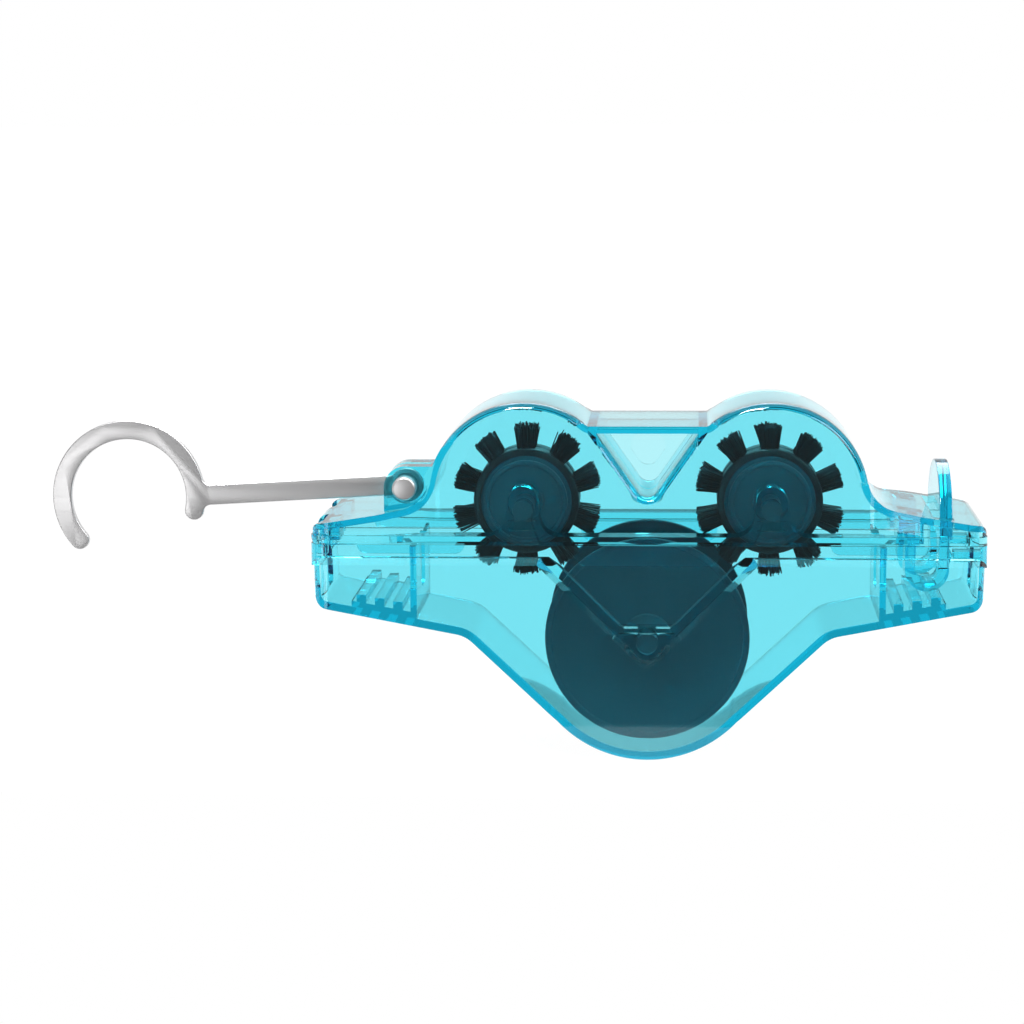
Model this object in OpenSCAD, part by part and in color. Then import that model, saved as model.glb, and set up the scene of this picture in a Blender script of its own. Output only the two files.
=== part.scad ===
// Chain cleaner: a clear two-part housing that closes round a bicycle chain.
// X runs along the chain, -Y is the front, +Z is up, and the origin is on the chain's centre line.
// Every rise and drop is measured from the parting plane, where the cover meets the tank.

/* [Body] */
// Length of the housing along the chain
body_length = 168.4; // [160:0.2:180]
// Depth of the housing over its rim
body_depth = 50; // [49:0.5:56]
// Wall of both shells
shell_wall = 1.8; // [1.5:0.1:2]
// Corner radius of the rim, seen from above
rim_corner = 4; // [3:0.5:6]
// Distance of the chain's centre line below the parting plane
chain_drop = 9; // [8.5:0.25:9.5]

/* [Cover] */
// Outer radius of each dome
dome_r = 24.5; // [24:0.25:26]
// Height of the domes' centres
dome_rise = 10.3; // [9.5:0.1:11]
// Depth of the dome block
dome_depth = 36; // [35:0.5:38]
// Height of the valley's floor between the domes
valley_rise = 11; // [10:0.5:12]
// Radius of the valley's floor
valley_r = 3; // [2:0.5:3.5]
// Height of the wing at its outer end
wing_end_rise = 4.6; // [4:0.2:5.4]
// Fall of the wing towards its end, in degrees
wing_fall = 9; // [7:0.5:11]
// Depth of the wings
wing_depth = 47; // [44:0.5:48.5]
// Radius where the wing runs into the dome
wing_fillet = 8; // [6:0.5:9]
// Height of the cover's flange
flange_rise = 2.2; // [1.8:0.1:2.6]
// Height of the bridge over the valley
bridge_rise = 29; // [27:0.5:30]
// Thickness of the bridge and of the web under it
bridge_thick = 1.8; // [1.4:0.1:2.4]
// Length of the tongues that reach down into the tank beside the wings
side_tongue_drop = 2.4; // [1.8:0.1:2.8]
// Length of the tongue that reaches down in the middle
mid_tongue_drop = 5.5; // [4:0.25:6.5]

/* [Tank] */
// Depth of the tank below its rim
tank_depth = 42; // [41:0.5:44]
// Space between the scrub discs and the inside of the belly
belly_gap = 3.2; // [2.6:0.1:5]
// Depth of the belly's centre
belly_drop = 24.4; // [24:0.2:26]
// Slope of the belly's sides, in degrees
belly_slope = 43.2; // [41:0.2:45]
// Depth of the tank at its ends
end_drop = 16.6; // [16:0.2:18]
// Fall of the tank's wings towards the belly, in degrees
floor_fall = 10.6; // [9:0.2:12]
// Radius of the tank's lower end corners
end_corner = 3.5; // [2:0.5:5]
// Radius where the tank's wing runs into the belly
belly_fillet = 8; // [6:0.5:10]
// Height of the rim band
rim_drop = 3; // [2.8:0.1:3.4]
// Height of the slope under the rim band
rim_slope_drop = 2.8; // [2.4:0.2:3.6]

/* [Chain path] */
// Width of the notches that the chain runs through
notch_w = 10; // [9:0.25:11]
// Depth of the notches below the chain's centre line
notch_below = 5; // [4.5:0.25:5.2]
// Corner radius of the notches
notch_corner = 2.5; // [1.5:0.25:3]

/* [Brush wheels] */
// Distance between the two brush axles
brush_span = 61.8; // [61.6:0.2:66]
// Height of the brush axles
brush_rise = 8.6; // [8.4:0.1:9.6]
// Radius over the brush tips
brush_tip_r = 19.2; // [17.5:0.1:19.3]
// Radius of the brush hub
brush_hub_r = 13.4; // [12.5:0.1:14]
// Width of the brush hub
brush_hub_w = 13; // [12:0.5:14]
// Radius of the caps on the hub's ends
brush_cap_r = 11; // [9:0.25:11.5]
// Thickness of the caps
brush_cap_t = 1.6; // [1.2:0.1:2]
// Radius of the brush axles
brush_axle_r = 2.5; // [2.2:0.1:2.6]
// Tufts in each row
tufts = 10; // [9:1:12]

/* [Scrub wheel] */
// Depth of the scrub wheel's axle
scrub_drop = 25; // [24.8:0.1:25.6]
// Radius of the scrub wheel's discs
scrub_disc_r = 25.8; // [24:0.2:26.2]
// Thickness of each disc
scrub_disc_t = 2; // [1.6:0.1:2.6]
// Radius of the roller that the chain rides on
roller_r = 10.5; // [9.5:0.25:11]
// Radius of the scrub wheel's axle
scrub_axle_r = 2.6; // [2.2:0.1:2.7]
// Tufts on the inside of each disc
disc_tufts = 12; // [10:1:14]

/* [Hook] */
// Distance of the hook's pin from the side of the left dome
pin_offset = 5.4; // [4.8:0.2:6]
// Height of the hook's pin
pin_rise = 13.5; // [13.2:0.1:14.2]
// Radius of the hook's pin
pin_r = 3; // [2.2:0.1:3.1]
// Thickness of the hook's plate
hook_t = 2; // [1.5:0.1:2.5]
// Width of the hook's arm
arm_w = 5.2; // [4.5:0.1:5.6]
// Distance from the pin to the middle of the hook's eye
eye_reach = 71.3; // [60:0.5:80]
// Inner radius of the hook's eye
eye_r = 14.7; // [13:0.1:17]
// Width of the strip round the eye
eye_w = 4.8; // [4:0.1:5.5]
// Dip of the resting arm, in degrees
arm_dip = 3.3; // [2:0.1:4]

/* [Latch] */
// Distance of the latch tab from the right end
tab_inset = 11.6; // [11.2:0.1:12]
// Thickness of the latch tab
tab_t = 3.2; // [2.6:0.1:3.4]
// Width of the latch tab
tab_w = 38; // [34:0.5:39]
// Height of the latch tab
tab_rise = 18.7; // [16:0.1:21]
// Depth of the spring legs
leg_drop = 12.3; // [11.5:0.1:12.6]

/* [Hinge] */
// Distance of the hinge bar from the end of the housing
hinge_inset = 2.1; // [2:0.1:2.4]
// Radius of the hinge bar
hinge_bar_r = 1.1; // [0.9:0.1:1.2]

/* [Hidden] */

// Colours
clear_cyan = [0.35, 0.83, 0.93, 0.55];
dark_teal = [0.05, 0.19, 0.24];
bristle_black = [0.08, 0.11, 0.14];
steel = [0.66, 0.65, 0.64];

// Fineness of round outlines and of round solids
$fn = 64;
outline_fn = 72;
sweep_steps = 8;

// Clearances
running_gap = 0.05;
press_gap = 0.02;
loose_gap = 0.3;
overrun = 1;

// Front and side places that follow from the sizes above
half_length = body_length / 2;
half_depth = body_depth / 2;
dome_x = brush_span / 2;
wing_slope = tan(wing_fall);
tank_inner_depth = tank_depth - 2 * shell_wall;
belly_r = scrub_disc_r + belly_gap + shell_wall;
tab_reach = half_length - tab_inset;
pin_reach = dome_x + dome_r + pin_offset;

// Valley: straight walls that touch both the domes and the valley's round floor
valley_centre_z = valley_rise + valley_r;
valley_reach = norm([dome_x, valley_centre_z - dome_rise]);
valley_angle = asin((dome_r + valley_r) / valley_reach)
             + atan2(dome_rise - valley_centre_z, dome_x);
valley_apex_z = valley_centre_z - valley_r / cos(valley_angle);
valley_edge_x = dome_x - dome_r * sin(valley_angle);
valley_edge_z = dome_rise + dome_r * cos(valley_angle);

// Plan of the cover: the wings flare out from the dome block
flare_inner_x = dome_x + dome_r;
flare_outer_x = flare_inner_x + dome_r / 2;
flare_r = dome_r / 5;

// Arches that carry the brush axles
arch_rise = brush_rise + brush_axle_r + 2 * shell_wall;
arch_foot = 6.4;
arch_top_r = 3.4;
arch_fillet = 5;
arch_face = 1.2;
arch_window_w = 7.3;
arch_window_h = 2.4;
snap_share = 0.86;
axle_inner_half = half_depth - arch_face;

// V-shaped boss that carries the scrub wheel's axle
boss_slope = 44.7;
boss_tip_r = 3;
boss_tip_wall = 4.2;
boss_tip_z = -scrub_drop - scrub_axle_r - boss_tip_wall - boss_tip_r * (1 / cos(boss_slope) - 1);
boss_face_share = 0.905;
snap_rise = scrub_axle_r + 1;
boss_window_w = 14;
boss_window_h = 2.4;

// Draft of the tank's end walls
end_draft = 0.7;

// Partitions in the tank
chamber_length = 25.5;
ledge_length = 15.7;
partition_x = half_length - chamber_length;
partition_t = 1.6;
partition_gap = 1;
chamber_end = partition_x + ledge_length;
ledge_t = 1.6;
rib_count = 3;
rib_lead_share = 0.6;
rib_w = 2.4;
rib_h = 2.2;

// Tongues of the cover
tongue_t = 1.4;
tongue_corner = 3;
mid_tongue_half = 18;
side_tongue_gap = 11.7;
side_tongue_length = 27;
side_tongue_outer = half_length - side_tongue_gap;
side_tongue_inner = side_tongue_outer - side_tongue_length;

// Hook and its lug
lug_r = 5.3;
lug_depth = 14.5;
lug_front = dome_depth / 2;
hook_y = -lug_front + 7;
hook_hub_r = 4.3;
hook_slot_w = hook_t + 2 * loose_gap;
hook_low_angle = 180 + arm_dip;
hook_high_angle = 62;
pin_proud = 3;
pin_chamfer = 0.4;
eye_start = -12;
eye_end = 221;
eye_lift = 0.7;
hook_fillet = 2;

// Latch and its spring legs
tab_travel = 1.6;
spring_t = 2.6;
spring_inner_r = 2.9;
spring_pivot_x = tab_reach - spring_inner_r;
spring_pivot_drop = leg_drop - spring_inner_r - spring_t;
leg_inner_y = 9.5;
leg_w = 8;
latch_nose = 1;
latch_nose_h = 2;
catch_t = 1.6;
catch_h = 2;
catch_drop = 4.5;
catch_x = tab_reach + spring_t + latch_nose + loose_gap;
leg_top_z = 1;

// Hinge bars and knuckles
hinge_rise = 2.1;
hinge_x = -half_length + hinge_inset;
knuckle_r = 1.9;
hinge_relief_r = 3;
hinge_ear_t = 2;
hinge_inner_y = 7;
hinge_outer_y = 20;

// Wheel places
brush_axle_len = 2 * (axle_inner_half - loose_gap);
scrub_axle_len = 2 * (half_depth - shell_wall - 2 * loose_gap);
disc_wall_gap = 0.45;
scrub_w = dome_depth - 2 * (shell_wall + disc_wall_gap);
disc_inner_y = scrub_w / 2 - scrub_disc_t;
roller_neck_r = 7;
roller_groove_w = 12;

// Bristles
strand_w = 0.55;
strand_taper_share = 0.8;
steep_share = 0.7;
strands_per_tuft = 6;
disc_strands = 7;
tuft_root_r = 1.25;
tuft_tip_r = 2.35;
row_y = 3.3;
tuft_sink = 1;
backing_t = 0.8;
disc_tuft_r = 20;
disc_bristle_len = 9;
disc_tuft_tip_r = 1.7;

// Moves children from the parting plane to their height above the chain
module at_parting() translate([0, 0, chain_drop]) children();

// Extrudes an outline drawn in X and Z through a depth along Y
module upright(depth) rotate([90, 0, 0]) linear_extrude(depth, center = true) children();

// The same between two distances from the middle, at the front and at the back
module both_faces(inner, outer)
    for (side = [-1, 1])
        translate([0, side * (inner + outer) / 2, 0]) upright(outer - inner) children();

// Extrudes an outline drawn in Y and Z along X
module along(length) rotate([90, 0, 90]) linear_extrude(length, center = true) children();

// A cylinder along Y, centred on the frame's middle plane
module axle(r, length) rotate([90, 0, 0]) cylinder(h = length, r = r, center = true);

// Rounds outer corners, or inner ones, of an outline
module round_outer(r) offset(r = r, $fn = outline_fn) offset(delta = -r) children();
module round_inner(r) offset(r = -r, $fn = outline_fn) offset(delta = r) children();

// Rectangle with round corners, centred on the origin
module round_plate(length, depth, corner)
    round_outer(corner) square([length, depth], center = true);

// Everything above the parting plane, for trimming an outline
module upper_half() translate([-body_length, 0]) square(2 * body_length);
module lower_half() translate([-body_length, -2 * body_length]) square(2 * body_length);

// Front outline of the cover: two domes, their valley and the two wings
module dome_and_wing()
    round_inner(wing_fillet) {
        translate([dome_x, dome_rise]) circle(dome_r, $fn = 2 * outline_fn);
        round_outer(min(rim_corner, wing_end_rise - flange_rise))
            polygon([[dome_x, -dome_rise], [half_length, -dome_rise], [half_length, wing_end_rise],
                     [dome_x, wing_end_rise + (half_length - dome_x) * wing_slope]]);
    }

module valley_fill()
    polygon([[-valley_edge_x, valley_edge_z], [0, valley_apex_z], [valley_edge_x, valley_edge_z],
             [valley_edge_x, -dome_rise], [-valley_edge_x, -dome_rise]]);

module cover_full_outline()
    round_inner(valley_r) {
        dome_and_wing();
        mirror([1, 0]) dome_and_wing();
        valley_fill();
    }

module cover_outline() intersection() { cover_full_outline(); upper_half(); }

// Plan of the cover above its flange
module cover_plan()
    round_inner(flare_r) round_outer(flare_r) {
        square([2 * flare_outer_x, dome_depth], center = true);
        for (side = [-1, 1])
            scale([side, 1])
                polygon([[flare_inner_x, -dome_depth / 2], [flare_outer_x, -wing_depth / 2],
                         [half_length, -wing_depth / 2], [half_length, wing_depth / 2],
                         [flare_outer_x, wing_depth / 2], [flare_inner_x, dome_depth / 2]]);
    }

// Outline of one arch, and of the channel in it that the axle snaps into
module arch_outline()
    intersection() {
        round_inner(arch_fillet) {
            round_outer(arch_top_r)
                polygon([[-arch_foot, -arch_rise], [-arch_top_r, arch_rise], [arch_top_r, arch_rise],
                         [arch_foot, -arch_rise]]);
            translate([-2 * dome_r, -arch_rise]) square([4 * dome_r, arch_rise + flange_rise]);
        }
        upper_half();
        translate([-dome_r / 2, 0]) square([dome_r, arch_rise]);
    }

module axle_channel(r) {
    circle(r + running_gap);
    translate([-r * snap_share, -2 * r]) square([2 * r * snap_share, 2 * r]);
}

module arch_channel()
    translate([0, brush_rise]) {
        axle_channel(brush_axle_r);
        polygon([[-brush_axle_r * snap_share, -1.5 * brush_axle_r],
                 [brush_axle_r * snap_share, -1.5 * brush_axle_r],
                 [arch_foot - shell_wall, -brush_rise - overrun],
                 [-arch_foot + shell_wall, -brush_rise - overrun]]);
    }

// Round lug that carries the hook's pin, and the slot that the arm swings in
module lug_outline()
    difference() {
        union() {
            translate([-pin_reach, pin_rise]) circle(lug_r);
            translate([-pin_reach - lug_r, flange_rise]) square([2 * lug_r, pin_rise - flange_rise]);
            translate([-pin_reach, flange_rise])
                square([pin_reach - dome_x, pin_rise + lug_r - flange_rise]);
        }
        offset(delta = -shell_wall / 2) cover_full_outline();
    }

module hook_sweep()
    translate([-pin_reach, pin_rise])
        offset(r = arm_w / 2 + loose_gap)
            polygon([[0, 0], for (step = [0:sweep_steps]) 4 * lug_r *
                     [cos(hook_high_angle + (hook_low_angle - hook_high_angle) * step / sweep_steps),
                      sin(hook_high_angle + (hook_low_angle - hook_high_angle) * step / sweep_steps)]]);

// Tongues that hang from the flange into the tank's rim
module tongue_outline()
    intersection() {
        union() {
            round_outer(tongue_corner)
                translate([-mid_tongue_half, -mid_tongue_drop])
                    square([2 * mid_tongue_half, 2 * mid_tongue_drop + tongue_corner]);
            for (side = [-1, 1])
                scale([side, 1])
                    round_outer(side_tongue_drop)
                        translate([side_tongue_inner, -side_tongue_drop])
                            square([side_tongue_outer - side_tongue_inner, 4 * side_tongue_drop]);
        }
        translate([0, flange_rise / 2]) lower_half();
    }

// Cover: domes, wings, flange, arches, bridge and hook lug
module cover_body() {
    intersection() {
        upright(body_depth) cover_outline();
        linear_extrude(2 * dome_r + dome_rise) cover_plan();
    }
    linear_extrude(flange_rise) round_plate(body_length, body_depth, rim_corner);
    for (x = [-dome_x, dome_x])
        translate([x, 0, 0]) both_faces(dome_depth / 2 - shell_wall, half_depth) arch_outline();
}

module cover_hollow()
    intersection() {
        upright(body_depth)
            difference() {
                offset(delta = -shell_wall) cover_full_outline();
                translate([-body_length, -2 * body_length - overrun]) square(2 * body_length);
            }
        translate([0, 0, -overrun])
            linear_extrude(2 * dome_r + dome_rise + overrun) offset(delta = -shell_wall) cover_plan();
    }

module bridge_outline()
    difference() {
        translate([-dome_x, bridge_rise - bridge_thick]) square([2 * dome_x, bridge_thick]);
        offset(delta = -shell_wall / 2) cover_full_outline();
    }

module web_outline()
    difference() {
        translate([-dome_x, flange_rise]) square([2 * dome_x, bridge_rise - flange_rise - overrun]);
        offset(delta = -shell_wall / 2) cover_full_outline();
    }

module web_pocket_outline()
    round_outer(valley_r)
        offset(delta = -2 * shell_wall)
            difference() {
                translate([-dome_x, flange_rise])
                    square([2 * dome_x, bridge_rise - bridge_thick + shell_wall - flange_rise]);
                cover_full_outline();
            }

// Knuckles that snap over the tank's hinge bars
module hinge_knuckles()
    for (side = [-1, 1])
        translate([hinge_x, side * (hinge_inner_y + hinge_outer_y) / 2, hinge_rise])
            upright(hinge_outer_y - hinge_inner_y - 2 * hinge_ear_t - 2 * loose_gap)
                difference() {
                    union() {
                        circle(knuckle_r);
                        polygon([[0, -knuckle_r], [hinge_relief_r + shell_wall, -knuckle_r],
                                 [hinge_relief_r + shell_wall, wing_end_rise - hinge_rise],
                                 [0, knuckle_r]]);
                    }
                    axle_channel(hinge_bar_r);
                }

// Brackets under the right wing that hold the roots of the spring legs
module spring_root()
    for (side = [-1, 1])
        translate([spring_pivot_x - spring_inner_r - spring_t - shell_wall,
                   side * (leg_inner_y + leg_w / 2) - leg_w / 2 - shell_wall, 0])
            cube([spring_t + 2 * shell_wall, leg_w + 2 * shell_wall, flange_rise + wing_end_rise]);

module cover_solids() {
    difference() {
        cover_body();
        cover_hollow();
    }
    upright(dome_depth) bridge_outline();
    upright(bridge_thick) web_outline();
    translate([0, -lug_front + lug_depth / 2, 0]) upright(lug_depth) lug_outline();
    both_faces(half_depth - shell_wall - loose_gap - tongue_t, half_depth - shell_wall - loose_gap)
        tongue_outline();
    intersection() {
        spring_root();
        upright(body_depth) cover_outline();
    }
}

// Axle channels of the arches, with the windows under the axles
module arch_cuts()
    for (x = [-dome_x, dome_x])
        translate([x, 0, 0]) {
            both_faces(dome_depth / 2 - 2 * shell_wall, axle_inner_half) arch_channel();
            both_faces(axle_inner_half - overrun, half_depth + overrun)
                translate([-arch_window_w / 2, brush_rise - brush_axle_r - arch_window_h])
                    square([arch_window_w, arch_window_h]);
        }

// Slot for the arm, and the bore for its pin
module hook_cuts() {
    translate([0, hook_y, 0])
        upright(hook_slot_w) {
            difference() {
                hook_sweep();
                cover_full_outline();
            }
            translate([-pin_reach, pin_rise]) circle(hook_hub_r + loose_gap);
        }
    translate([-pin_reach, -lug_front + lug_depth / 2, pin_rise])
        axle(pin_r + press_gap, lug_depth + 2 * overrun);
}

// Slot that the latch tab comes through, and the seats of the spring legs
module latch_cuts() {
    translate([tab_reach - tab_travel, -tab_w / 2 - loose_gap, flange_rise - overrun])
        cube([tab_t + tab_travel + loose_gap, tab_w + 2 * loose_gap, tab_rise]);
    for (side = [-1, 1])
        translate([spring_pivot_x - spring_inner_r - spring_t - press_gap,
                   side * (leg_inner_y + leg_w / 2) - leg_w / 2 - press_gap, -overrun])
            cube([spring_t + 2 * press_gap, leg_w + 2 * press_gap,
                  flange_rise + shell_wall / 2 + overrun]);
}

// Room for the ears and bars of the hinge, and the round edge that rolls past the tank's end
module hinge_cuts() {
    translate([hinge_x, 0, hinge_rise])
        upright(body_depth + 2 * overrun)
            difference() {
                translate([-2 * hinge_rise, -2 * hinge_rise]) square(2 * hinge_rise);
                circle(hinge_rise);
            }
    for (side = [-1, 1])
        translate([hinge_x, side * (hinge_inner_y + hinge_outer_y) / 2, hinge_rise])
            upright(hinge_outer_y - hinge_inner_y + 2 * loose_gap) {
                circle(hinge_relief_r);
                translate([-2 * hinge_relief_r, -2 * hinge_relief_r])
                    square([3 * hinge_relief_r, 2 * hinge_relief_r]);
            }
}

module cover_shell()
    color(clear_cyan) at_parting() {
        difference() {
            cover_solids();
            arch_cuts();
            translate([0, -bridge_thick / 2, 0]) upright(bridge_thick / 2) web_pocket_outline();
            hook_cuts();
            latch_cuts();
            hinge_cuts();
        }
        hinge_knuckles();
    }

// Front outline of the tank: round belly, sloping sides and shallow ends
wing_foot_z = -end_drop - half_length * tan(floor_fall);
belly_touch = [belly_r * sin(belly_slope), -belly_drop - belly_r * cos(belly_slope)];
elbow_x = (wing_foot_z - belly_touch[1] + belly_touch[0] * tan(belly_slope))
        / (tan(belly_slope) - tan(floor_fall));
elbow_z = wing_foot_z + elbow_x * tan(floor_fall);

module tank_full_outline()
    round_inner(belly_fillet) {
        for (side = [-1, 1])
            scale([side, 1])
                round_outer(end_corner)
                    polygon([[0, end_drop], [0, -belly_drop], belly_touch, [elbow_x, elbow_z],
                             [half_length - end_draft, -end_drop], [half_length, 0],
                             [half_length, end_drop]]);
        translate([0, -belly_drop]) circle(belly_r, $fn = 2 * outline_fn);
        translate([-belly_touch[0], -belly_drop]) square([2 * belly_touch[0], belly_drop]);
    }

// Section of the rim across the housing, drawn in Y and Z
module rim_section(inset, top)
    polygon([[-half_depth + inset, top], [-half_depth + inset, -rim_drop],
             [-tank_depth / 2 + inset, -rim_drop - rim_slope_drop],
             [tank_depth / 2 - inset, -rim_drop - rim_slope_drop],
             [half_depth - inset, -rim_drop], [half_depth - inset, top]]);

// V-shaped boss that guides the scrub wheel's axle down to its seat
module boss_outline(top)
    round_outer(boss_tip_r)
        polygon([[(boss_tip_z - top) / tan(boss_slope), top], [0, boss_tip_z],
                 [(top - boss_tip_z) / tan(boss_slope), top]]);

module boss_below_rim(share)
    intersection() {
        scale([share, share]) boss_outline(0);
        translate([0, -rim_drop / 2]) lower_half();
    }

module both_bosses()
    for (side = [-1, 1])
        scale([1, side, 1])
            translate([0, -tank_depth / 2, 0])
                rotate([90, 0, 0])
                    hull() {
                        translate([0, 0, -shell_wall]) linear_extrude(shell_wall) boss_below_rim(1);
                        linear_extrude((body_depth - tank_depth) / 2) boss_below_rim(boss_face_share);
                    }

module boss_channel()
    translate([0, -scrub_drop]) {
        circle(scrub_axle_r + running_gap);
        translate([-scrub_axle_r * snap_share, 0])
            square([2 * scrub_axle_r * snap_share, 2 * scrub_axle_r]);
    }

module boss_hollow()
    difference() {
        offset(delta = -boss_tip_wall) boss_outline(2 * boss_tip_wall);
        translate([-half_length, -2 * body_length - scrub_drop + snap_rise]) square(2 * body_length);
    }

// Notch that the chain runs through, drawn in Y and Z
module chain_notch()
    translate([0, -chain_drop - notch_below])
        round_outer(notch_corner)
            translate([-notch_w / 2, 0]) square([notch_w, 2 * (chain_drop + notch_below)]);

module tank_hollow() {
    intersection() {
        upright(tank_inner_depth) offset(delta = -shell_wall) tank_full_outline();
        translate([0, 0, -2 * body_length + overrun]) linear_extrude(2 * body_length)
            round_plate(body_length - 2 * shell_wall, tank_inner_depth, rim_corner - shell_wall);
    }
    along(body_length - 2 * shell_wall) rim_section(shell_wall, overrun);
}

// Cross walls that keep the dirt in the middle
module partitions()
    for (side = [-1, 1])
        translate([side * partition_x - partition_t / 2, 0, 0])
            rotate([90, 0, 90])
                linear_extrude(partition_t)
                    difference() {
                        translate([-tank_depth / 2 + shell_wall / 2, -belly_drop])
                            square([tank_depth - shell_wall, belly_drop - partition_gap]);
                        chain_notch();
                    }

// Stepped floor of each end chamber, with three ribs on it
module chamber_floor()
    for (side = [-1, 1])
        scale([side, 1, 1]) {
            upright(tank_depth - shell_wall)
                polygon([[partition_x, -belly_drop], [partition_x, floor_top(partition_x)],
                         [chamber_end, floor_top(chamber_end)], [chamber_end, -belly_drop]]);
            for (step = [0:rib_count - 1])
                translate([rib_x(step), 0, 0])
                    upright(tank_inner_depth)
                        translate([0, -belly_drop])
                            square([rib_w, belly_drop + floor_top(rib_x(step)) + rib_h]);
        }

function floor_top(x) = -end_drop - (half_length - x) * tan(floor_fall) + shell_wall + ledge_t;
function rib_x(step) = partition_x + (chamber_end - partition_x) * (step + rib_lead_share) / (rib_count + 1 - rib_lead_share);

// Ears and bars of the hinge at the left end
module hinge_bars()
    for (side = [-1, 1])
        translate([hinge_x, side * (hinge_inner_y + hinge_outer_y) / 2, hinge_rise]) {
            axle(hinge_bar_r, hinge_outer_y - hinge_inner_y - overrun);
            for (ear = [-1, 1])
                translate([0, ear * (hinge_outer_y - hinge_inner_y - hinge_ear_t) / 2, 0])
                    upright(hinge_ear_t) {
                        circle(knuckle_r);
                        translate([-knuckle_r, -hinge_rise - rim_drop])
                            square([2 * knuckle_r, hinge_rise + rim_drop]);
                    }
        }

// Catches on the right end wall, one for each latch nose
module catches()
    for (side = [-1, 1])
        translate([catch_x, side * (leg_inner_y + leg_w / 2) - catch_t / 2 - leg_w / 4, -catch_drop])
            cube([half_length - shell_wall / 2 - catch_x, catch_t + leg_w / 2, catch_h]);

module tank_shell()
    color(clear_cyan) at_parting()
        difference() {
            union() {
                difference() {
                    intersection() {
                        union() {
                            intersection() {
                                upright(tank_depth) tank_full_outline();
                                translate([0, 0, -2 * body_length]) linear_extrude(2 * body_length)
                                    round_plate(body_length, tank_depth, rim_corner);
                            }
                            along(body_length) rim_section(0, 0);
                            both_bosses();
                        }
                        translate([0, 0, -2 * body_length]) linear_extrude(2 * body_length)
                            round_plate(body_length, body_depth, rim_corner);
                    }
                    tank_hollow();
                }
                intersection() {
                    union() {
                        partitions();
                        chamber_floor();
                    }
                    upright(tank_depth) tank_full_outline();
                }
                hinge_bars();
                catches();
            }
            // Hollow of the boss, the axle's seat and the window over it
            both_faces(tank_depth / 2 - 2 * shell_wall, half_depth - shell_wall) {
                boss_hollow();
                boss_channel();
            }
            both_faces(half_depth - shell_wall - overrun, half_depth + overrun)
                translate([-boss_window_w / 2, -scrub_drop + scrub_axle_r])
                    square([boss_window_w, boss_window_h]);
            // Notches for the chain in the end walls
            for (side = [-1, 1])
                translate([side * half_length, 0, 0])
                    along(2 * (half_length - partition_x) - 2 * partition_t) chain_notch();
        }

// Steel hook that hangs the cleaner from the bicycle
function eye_centre() = [-eye_reach * cos(arm_dip) - eye_lift * sin(arm_dip),
                         -eye_reach * sin(arm_dip) + eye_lift * cos(arm_dip)];

module strip_end(angle)
    translate(eye_centre() + (eye_r + eye_w / 2) * [cos(angle), sin(angle)]) circle(eye_w / 2);

module eye_strip()
    difference() {
        translate(eye_centre()) circle(eye_r + eye_w, $fn = 2 * outline_fn);
        translate(eye_centre()) circle(eye_r - loose_gap, $fn = 2 * outline_fn);
        translate(eye_centre())
            polygon([[0, 0], for (step = [0:sweep_steps]) 2 * eye_r *
                     [cos(eye_end + (eye_start + 360 - eye_end) * step / sweep_steps),
                      sin(eye_end + (eye_start + 360 - eye_end) * step / sweep_steps)]]);
    }

module hook_outline()
    difference() {
        union() {
            circle(hook_hub_r);
            round_inner(hook_fillet) {
                eye_strip();
                rotate(hook_low_angle)
                    translate([0, -arm_w / 2]) square([eye_reach - eye_r - eye_w / 2, arm_w]);
            }
            strip_end(eye_start);
            strip_end(eye_end);
        }
        circle(pin_r + running_gap);
        translate(eye_centre()) circle(eye_r);
    }

module hook_arm()
    color(steel) at_parting()
        translate([-pin_reach, hook_y, pin_rise])
            rotate([90, 0, 0])
                linear_extrude(hook_t, center = true) hook_outline();

module hook_pin()
    color(steel) at_parting()
        translate([-pin_reach, -lug_front - pin_proud, pin_rise])
            rotate([-90, 0, 0]) {
                cylinder(h = pin_chamfer, r1 = pin_r - pin_chamfer, r2 = pin_r);
                translate([0, 0, pin_chamfer])
                    cylinder(h = lug_depth + pin_proud - pin_chamfer, r = pin_r);
            }

// Latch: a round tab over two legs, and the spring legs under it
module tab_section()
    polygon([[-tab_w / 2, leg_top_z],
             for (step = [0:outline_fn])
                 [-tab_w / 2 * cos(180 * step / outline_fn),
                  wing_end_rise + (tab_rise - wing_end_rise) * sin(180 * step / outline_fn)],
             [tab_w / 2, leg_top_z]]);

module latch_tab()
    color(clear_cyan) at_parting() {
        translate([tab_reach, 0, 0]) rotate([90, 0, 90]) linear_extrude(tab_t) tab_section();
        for (side = [-1, 1])
            translate([tab_reach, side * (leg_inner_y + leg_w / 2) - leg_w / 2, -spring_pivot_drop])
                cube([spring_t, leg_w, spring_pivot_drop + leg_top_z + overrun]);
        for (side = [-1, 1])
            translate([tab_reach + spring_t, side * (leg_inner_y + leg_w / 2), -catch_drop + catch_h / 2])
                upright(leg_w / 2)
                    polygon([[-overrun, -latch_nose_h], [0, -latch_nose_h], [latch_nose, 0],
                             [0, latch_nose_h], [-overrun, latch_nose_h]]);
    }

module latch_spring()
    color(clear_cyan) at_parting()
        for (side = [-1, 1])
            translate([spring_pivot_x, side * (leg_inner_y + leg_w / 2), -spring_pivot_drop])
                upright(leg_w) {
                    difference() {
                        circle(spring_inner_r + spring_t);
                        circle(spring_inner_r);
                        translate([-2 * tab_w, 0]) square(4 * tab_w);
                    }
                    translate([-spring_inner_r - spring_t, -overrun / 2])
                        square([spring_t, spring_pivot_drop + flange_rise + shell_wall / 2]);
                }

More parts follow.
